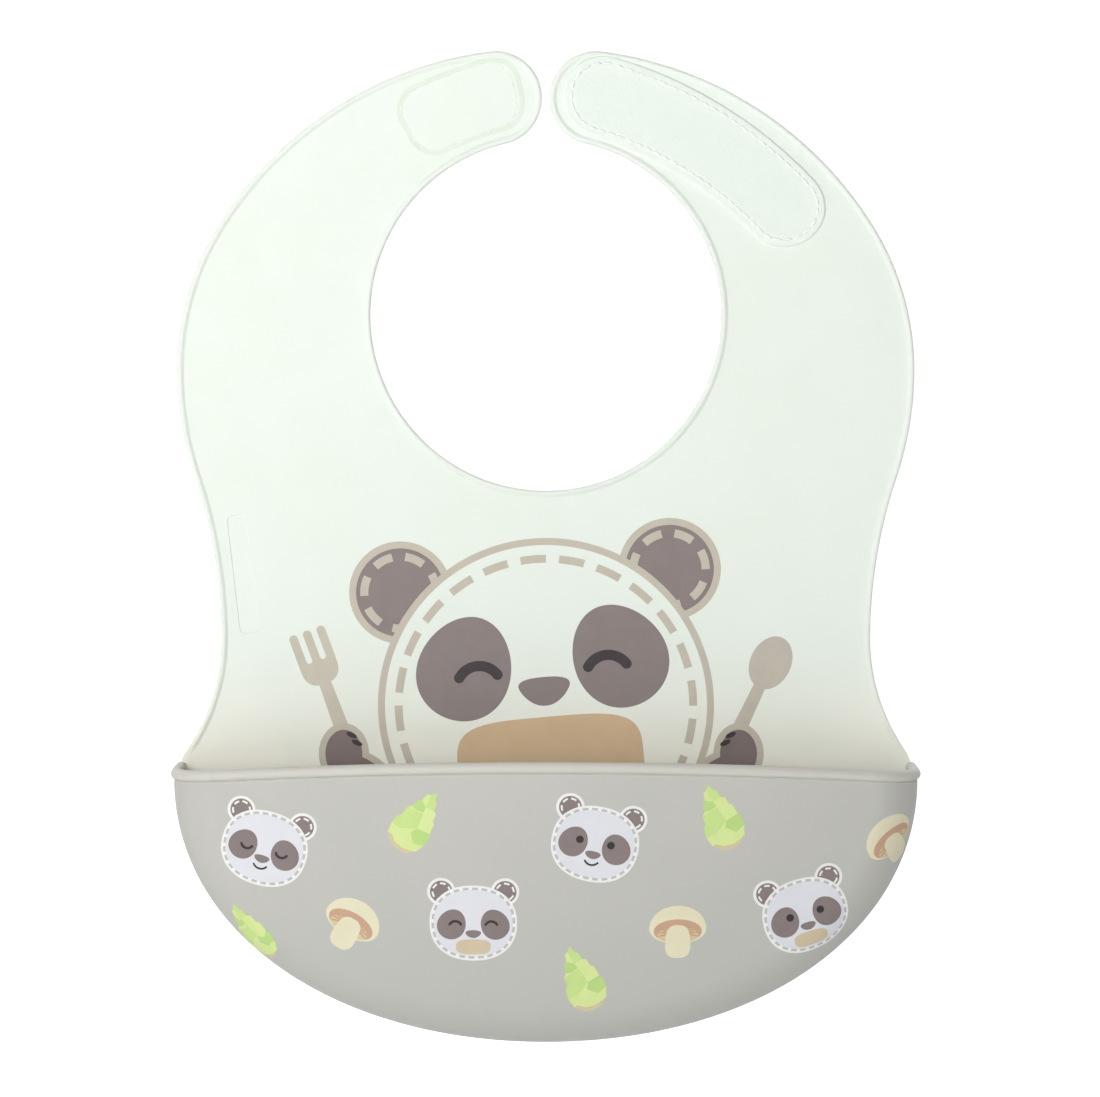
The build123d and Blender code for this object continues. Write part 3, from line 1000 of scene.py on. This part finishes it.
def film(name, ink_name, surface, lift, groups, nodes, within=(), step=None):
    """A thin closed coat of ink. Each group is the loops to fill and the loops to leave out."""
    skin = Skin()
    for add, cut in groups:
        points, triangles = fill(add, cut, within, step)
        top = surface(points, lift)
        under = surface(points, -film_sunk)
        skin.triangles(top, triangles)
        skin.triangles(under, triangles[:, ::-1])
        sides = {}
        for triangle in triangles:
            for a, b in zip(triangle, np.roll(triangle, -1)):
                sides.setdefault((min(a, b), max(a, b)), []).append((a, b))
        for uses in sides.values():
            if len(uses) == 1:
                a, b = uses[0]
                skin.face(top[a], top[b], under[b], under[a])
    skin.piece(name, *inks[ink_name], nodes, "bib_body")


# -------- print on the panel
def on_face(loop):
    """A loop drawn for an upright head, tilted with the head."""
    return moved(np.asarray(loop) - head_centre, (*head_centre, head_tilt))


ear_places = on_face([(side * 42.9, -84.0) for side in (-1, 1)])
ear_radius = 16.3
paw_place = (62.9, -139.4)
arm_place = (56.0, -146.3)
paw_shift = -1.5
fork_place = (-72.6, -110.4, 20.0)
spoon_place = (71.5, -110.3, -25.0)
clip = np.array(((-120, -146.0), (120, -146.0), (120, 0), (-120, 0)))


def both_sides(loop):
    """A loop and its mirror image."""
    return [loop, mirrored(loop)]


def both_paws(loop):
    """A loop and its mirror image, moved sideways with the paws."""
    return [each + (paw_shift, 0) for each in both_sides(loop)]


def paws_and_arms(inset):
    """Both paws and the ends of both arms, drawn `inset` inside their outlines."""
    paw = ellipse(*paw_place, 8.0 - inset, 9.8 - inset)
    arm = ellipse(*arm_place, 12.2 - inset, 6.7 - inset, 35)
    return both_paws(paw) + both_paws(arm)


def taper(length, start_width, end_width):
    """Handle that hangs from (0, 0)."""
    return np.array((
        (-start_width / 2, 0), (-end_width / 2, -length), (end_width / 2, -length), (start_width / 2, 0),
    ))


head = circle(*head_centre, head_radius, 200)
head_inside = circle(*head_centre, head_radius - line_width, 200)
ears = [circle(x, z, ear_radius) for x, z in ear_places]
ears_inside = [circle(x, z, ear_radius - line_width) for x, z in ear_places]
paws = paws_and_arms(0.0)
paws_inside = paws_and_arms(2.1)

head_dashes = dashes(circle(*head_centre, head_radius - 6.6, 200), 24, 0.66, 2.5)
ear_dashes = [dash for x, z in ear_places for dash in dashes(circle(x, z, 11.5), 7, 0.6, 2.6)]
fork = [stroke(np.array(((x, 9.6), (x, 5.0), (x, -1.0))), 2.8) for x in (-4.6, 0, 4.6)]
fork += [ellipse(0, -0.6, 6.0, 6.4, power=2.6), taper(34, 3.6, 5.2)]
fork = placed(fork, fork_place)
fork_slots = [stroke(np.array(((x, 14.0), (x, 6.0), (x, 1.6))), 1.9) for x in (-2.3, 2.3)]
fork_slots = placed(fork_slots, fork_place)
spoon = placed([ellipse(0, 0, 6.5, 8.8), taper(34, 3.4, 5.2)], spoon_place)

eye_patch = ellipse(24.6, -110.0, 14.9, 16.9, tilt=24, egg=-0.1, count=120)
eye_patches = [on_face(loop) for loop in both_sides(eye_patch)]
eye_line = stroke(arc((20.6, -116.8), 7.3, 33, 147, 0.6), 3.3)
eye_lines = [on_face(loop) for loop in both_sides(eye_line)]
nose = on_face(ellipse(0, -119.4, 7.4, 4.6, egg=0.4, power=2.5))
mouth = on_face(ellipse(0, -143.0, 29.7, 15.4, power=4.0, count=160))

claws = [
    loop
    for x, z in ((60.4, -133.4), (58.7, -135.9))
    for loop in both_paws(ellipse(x, z, 1.8, 0.8, 25))
]


def panel_film(name, ink_name, lift, groups, nodes=()):
    film("panel_print_" + name, ink_name, on_panel, lift, groups, nodes, within=[clip])


taupe_print = [(ears_inside, [head]), ([*eye_patches, nose], [])]
beige_print = [
    (ears, [*ears_inside, head]), ([head], [head_inside]), (head_dashes, []), (ear_dashes, [head]),
    (paws, [*paws_inside, head]),
]
panel_film("taupe", "taupe", 0.05, taupe_print, ("panel_ink_taupe",))
panel_film("paws", "paw", 0.05, [(paws_inside, [head])])
panel_film("lines", "beige", 0.08, beige_print, ("panel_ink_beige",))
panel_film("fork", "fork", 0.06, [(fork, [*fork_slots, *paws])])
panel_film("spoon", "spoon", 0.06, [(spoon, paws)])
panel_film("mouth", "tan", 0.05, [([mouth], [])], ("panel_ink_tan",))
panel_film("dark", "dark", 0.09, [(eye_lines, []), (claws, [])], ("panel_ink_dark",))


# -------- print on the pocket
pandas = [(-87.5, -165.2, -15), (-22.5, -188, 0), (15.2, -162.8, -12), (81, -186.5, 15)]
shoots = [(-40, -155.5, -32), (53.5, -154.5, 24), (10.8, -205.7, 24), (-92.5, -193, 32)]
mushrooms = [(-60.3, -188.2, -30), (41, -190, 0), (108, -163, 35)]
shoot_stretch = (1.15, 1.0)
print_step = 1.3

face_loop, face_inner, face_seam = [
    ellipse(0, 0, half_width, half_width - 1.6, power=2.25, count=120)
    for half_width in (13.6, 12.3, 12.6)
]
face_ears = both_sides(circle(9.9, 10.0, 4.4, 48))
face_ear_discs = both_sides(circle(9.9, 10.0, 3.5, 48))
face_ear_dashes = [
    dash for side in (-1, 1) for dash in dashes(circle(side * 9.9, 10.0, 2.7, 48), 6, 0.62, 0.6)
]
face_patches = both_sides(ellipse(6.7, -0.4, 4.4, 4.9, tilt=24, egg=-0.08, count=60))
face_nose = ellipse(0, -3.5, 2.3, 1.25, power=2.2, egg=0.3, count=36)
open_eyes = both_sides(circle(4.9, 0.6, 1.2, 30))
closed_eyes = both_sides(stroke(arc((5.6, 0.4), 1.9, 205, 335, 0.3), 0.8))
happy_eyes = both_sides(stroke(arc((5.6, -1.4), 2.0, 28, 152, 0.3), 0.8))
smile = stroke(arc((0, -4.2), 2.5, 215, 325, 0.3), 0.6)
tongue = ellipse(0, -7.6, 5.4, 2.4, power=3.0, count=60)


def leaf(*points):
    """A loop of the shoot's picture, stretched to the shoot's width."""
    return np.array(points) * shoot_stretch


shoot = leaf(
    (0.9, 11.0), (1.5, 8.6), (2.3, 8.0), (2.6, 5.6), (3.6, 5.0), (3.9, 2.6), (4.7, 1.8),
    (5.0, -1.4), (5.6, -2.4), (5.4, -5.6), (4.3, -8.6), (2.4, -10.4), (-0.3, -11.0),
    (-2.9, -10.2), (-4.8, -7.8), (-5.4, -4.6), (-5.1, -1.8), (-4.2, -0.6), (-4.0, 2.2),
    (-3.0, 3.4), (-2.7, 5.8), (-1.7, 6.6), (-1.2, 9.0), (-0.3, 9.4),
)
shoot_mid = [
    leaf((-5.4, -4.6), (-5.1, -1.8), (-4.2, -0.6), (-4.0, 2.2), (0.6, 3.0), (1.4, -2.0), (-2.6, -4.6)),
    leaf((-0.3, 9.4), (0.9, 11.0), (1.5, 8.6), (2.3, 8.0), (2.6, 5.6), (0.2, 5.2)),
]
shoot_deep = [
    leaf((-3.0, 3.4), (-2.7, 5.8), (-1.7, 6.6), (0.2, 5.2), (0.5, 3.4), (-1.5, 2.9)),
    leaf((1.4, -2.0), (5.0, -1.4), (5.6, -2.4), (5.4, -5.6), (2.6, -6.6), (0.4, -4.0)),
]
shoot_root = leaf(
    (-4.8, -7.8), (-2.9, -10.2), (-0.3, -11.0), (2.4, -10.4), (4.3, -8.6), (3.2, -9.1),
    (0.6, -9.8), (-2.0, -9.2), (-3.9, -7.5),
)

cap = ellipse(0, 0, 8.9, 7.4, count=90)
cap[:, 1] = np.where(cap[:, 1] < 0, cap[:, 1] * 4.9 / 7.4, cap[:, 1])
gills = ellipse(0, -0.8, 7.5, 3.8)
gills_low = ellipse(0, -2.2, 6.4, 3.0)
stem = ellipse(0, -4.1, 3.9, 5.3, power=2.8, egg=-0.07)
gill_streaks = [
    np.array([(reach * cos(a), -0.8 + reach * 0.5 * sin(a)) for reach, a in (
        (3.6, angle - 0.16), (6.9, angle - 0.05), (6.9, angle + 0.05), (3.6, angle + 0.16))])
    for angle in np.radians((-28, -8, 12, 32, 148, 168, 188, 208))
]


def pictures(loops, places):
    """Copies of some loops, one set at each place on the pocket."""
    return [loop for place in places for loop in placed(loops, unfolded(place))]


def pocket_film(name, ink_name, lift, places, prints, nodes=()):
    """Ink on the pocket; each print is the loops to fill and to leave out at every place."""
    groups = [(pictures(add, places), pictures(cut, places)) for add, cut in prints]
    film("pocket_print_" + name, ink_name, on_pocket, lift, groups, nodes, step=print_step)


taupe_print = [(face_ear_discs, [face_loop]), ([*face_patches, face_nose], [])]
pocket_film("white", "white", 0.05, pandas, [([face_loop, *face_ears], [])], ("pocket_ink_white",))
pocket_film("faces", "face", 0.08, pandas, [([face_inner], [])])
pocket_film("taupe", "taupe", 0.11, pandas, taupe_print, ("pocket_ink_taupe",))
pocket_film("dashes", "dash", 0.1, pandas, [(dashes(face_seam, 26, 0.6, 0.75), [])])
pocket_film("ear_dashes", "white", 0.14, pandas, [(face_ear_dashes, [face_loop])])
drawn_faces = ([*closed_eyes, smile], happy_eyes, [*open_eyes, smile], open_eyes)
film(
    "pocket_print_dark", "dark", on_pocket, 0.14,
    [(pictures(loops, [place]), []) for loops, place in zip(drawn_faces, pandas)], (),
    step=print_step,
)
pocket_film("mouths", "mouth", 0.11, pandas[1::2], [([tongue], [])])

pocket_film("shoots", "leaf", 0.05, shoots, [([shoot], [])], ("pocket_ink_green",))
pocket_film("shoots_mid", "leaf_mid", 0.08, shoots, [(shoot_mid, [])])
pocket_film("shoots_deep", "leaf_deep", 0.08, shoots, [(shoot_deep, [])])
pocket_film("roots", "root", 0.11, shoots, [([shoot_root], [])])

brown_print = [([gills], [gills_low, stem]), (gill_streaks, [stem])]
pocket_film("mushrooms", "cream", 0.05, mushrooms, [([cap, stem], [])], ("pocket_ink_cream",))
pocket_film("gills", "gill", 0.08, mushrooms, [([gills], [stem])])
pocket_film("brown", "brown", 0.11, mushrooms, brown_print, ("pocket_ink_brown",))


def make_show_through():
    """The hook tape's outline, which shows through the left strap as a greenish band."""
    length, bent = hook_band
    longer = 1.5
    lift = 0.03
    outer, inner = [
        bent(rounded_rectangle(length + longer, tape_width, hook_tape_corner, inset) + (longer / 2, 0))
        for inset in (1.2, 2.9)
    ]
    around = ((outer, -film_sunk), (outer, lift), (inner, lift), (inner, -film_sunk), (outer, -film_sunk))
    skin = Skin()
    skin.grid([on_panel(loop, height) for loop, height in around], closed=True)
    skin.piece("hook_tape_outline", seam_tint, "cream_silicone", (), "left_strap_body")


make_show_through()


# -------- sheet halves: their transforms baked into their meshes
for sheet, joint, strap in (
    (sheet_left, "left_strap_fold", "left_strap_body"),
    (sheet_right, "right_strap_fold", "right_strap_body"),
):
    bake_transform(sheet)


# -------- floor, light and camera
floor_gap = 0.045
floor_glow = 0.7
world_fade = (-0.02, 0.22)
middle = (cad_low + cad_high) / 2


def aim_at(thing, place, target):
    """Puts a lamp or the camera at a place, and turns it towards a target."""
    thing.location = place
    thing.rotation_mode = "QUATERNION"
    thing.rotation_quaternion = (target - Vector(place)).to_track_quat("-Z", "Y")


def pale_floor():
    """Floor that shows as white; the glow that whitens it doesn't light the bib."""
    mesh = bpy.data.meshes.new("floor")
    half, level = 6.0, cad_low.z - floor_gap
    mesh.from_pydata(
        [(-half, -half, level), (half, -half, level), (half, half, level), (-half, half, level)],
        [], [(0, 1, 2, 3)],
    )
    floor = in_scene("floor", mesh)
    pale = Finish("pale_floor", 0.9, Base_Color=(0.9, 0.9, 0.9, 1), Emission_Color=(1, 1, 1, 1))
    rays = pale.node("ShaderNodeLightPath").outputs["Is Camera Ray"]
    pale.link(pale.math("MULTIPLY", rays, floor_glow), pale.shader.inputs["Emission Strength"])
    mesh.materials.append(pale.material)


def soft_light(name, place, size, power):
    """Round white lamp that faces the middle of the bib."""
    data = bpy.data.lights.new(name, "AREA")
    data.shape = "DISK"
    data.size = size
    data.energy = power
    aim_at(in_scene(name, data), place, middle)


def studio_world(front, back):
    """White surroundings that light the bib from behind more than from the camera's side."""
    world = bpy.data.worlds.new("studio")
    bpy.context.scene.world = world
    world.use_nodes = True
    nodes, links = world.node_tree.nodes, world.node_tree.links
    place = nodes.new("ShaderNodeTexCoord")
    split = nodes.new("ShaderNodeSeparateXYZ")
    links.new(place.outputs["Generated"], split.inputs["Vector"])
    ranged = nodes.new("ShaderNodeMapRange")
    for name, number in zip(map_range_sockets, (*world_fade, front, back)):
        ranged.inputs[name].default_value = number
    links.new(split.outputs["Y"], ranged.inputs["Value"])
    rays = nodes.new("ShaderNodeLightPath")
    brighter = nodes.new("ShaderNodeMath")
    brighter.operation = "MAXIMUM"
    links.new(rays.outputs["Is Camera Ray"], brighter.inputs[0])
    links.new(ranged.outputs["Result"], brighter.inputs[1])
    links.new(brighter.outputs["Value"], nodes["Background"].inputs["Strength"])
    nodes["Background"].inputs["Color"].default_value = (1, 1, 1, 1)


pale_floor()
studio_world(0.04, 1.06)
soft_light("key", (-0.85, -0.65, 0.42), 0.7, 2.7)
soft_light("front", (-0.35, -1.5, 0.3), 1.0, 14.8)
soft_light("back", (0.8, 0.9, 0.5), 0.7, 1.8)

camera_distance = 1.1
camera_elevation = radians(4.0)
aim = Vector((0.0013, 0, -0.0739))
away = Vector((0, -cos(camera_elevation), sin(camera_elevation)))
camera_data = bpy.data.cameras.new("camera")
camera_data.sensor_width = 36
camera_data.lens = 103.0 * camera_distance
camera = in_scene("camera", camera_data)
aim_at(camera, aim + away * camera_distance, aim)
bpy.context.scene.camera = camera
bpy.context.scene.view_settings.view_transform = "Standard"
